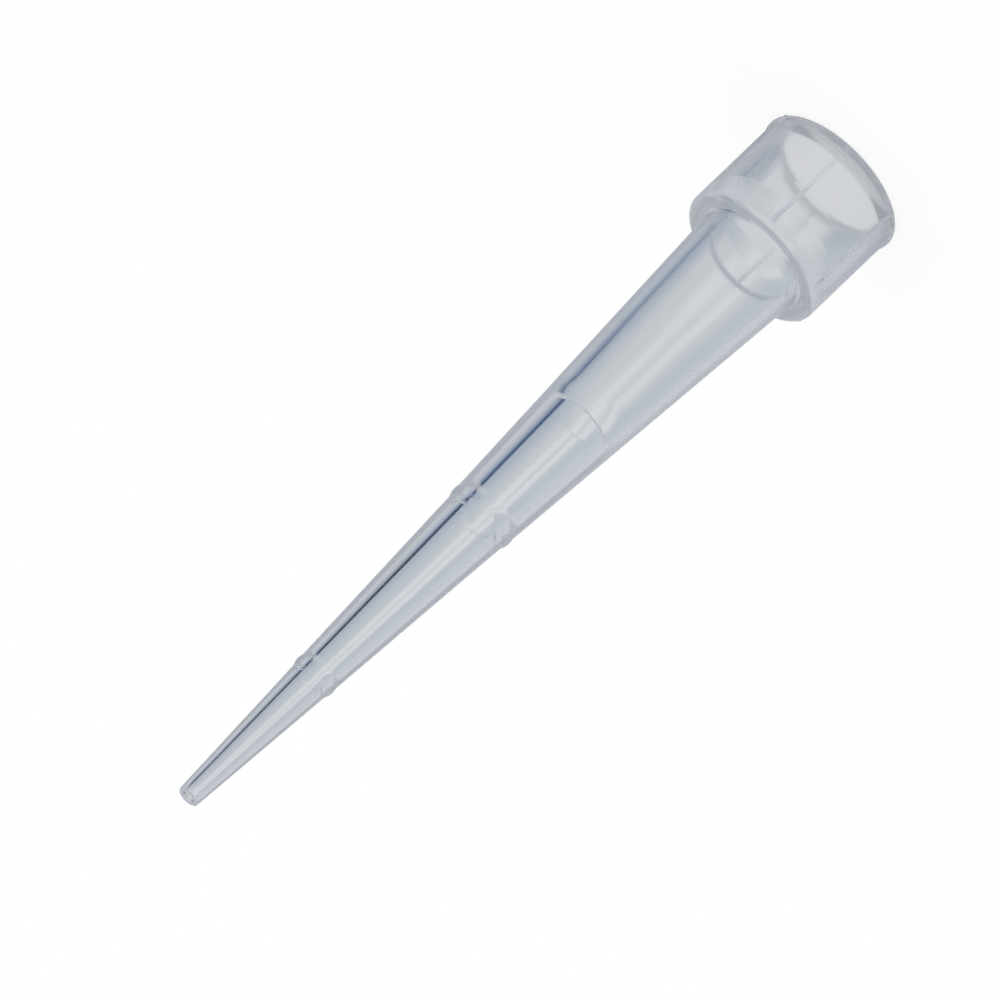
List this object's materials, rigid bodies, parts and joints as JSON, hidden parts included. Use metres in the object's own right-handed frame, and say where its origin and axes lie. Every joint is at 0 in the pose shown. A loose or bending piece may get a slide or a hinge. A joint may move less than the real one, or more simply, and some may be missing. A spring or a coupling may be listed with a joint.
{
  "type": "pipette tip",
  "caption": "Small graduated pipette tip: a slender tapered tube with a ribbed collar that grips the pipette's nozzle and a fine outlet for microlitre volumes.",
  "frame": {"origin": "centre of the open rim that the tip stands on", "axes": "+Z along the tip's axis, from the open rim to the narrow outlet; +X through one of the collar's grip ribs"},
  "size_m": [0.0056, 0.0054, 0.032],
  "materials": {
    "natural_polypropylene": "clear moulded polypropylene with a faint haze"
  },
  "bodies": {
    "root": {"pipette_tip": "natural_polypropylene"}
  },
  "joints": []
}
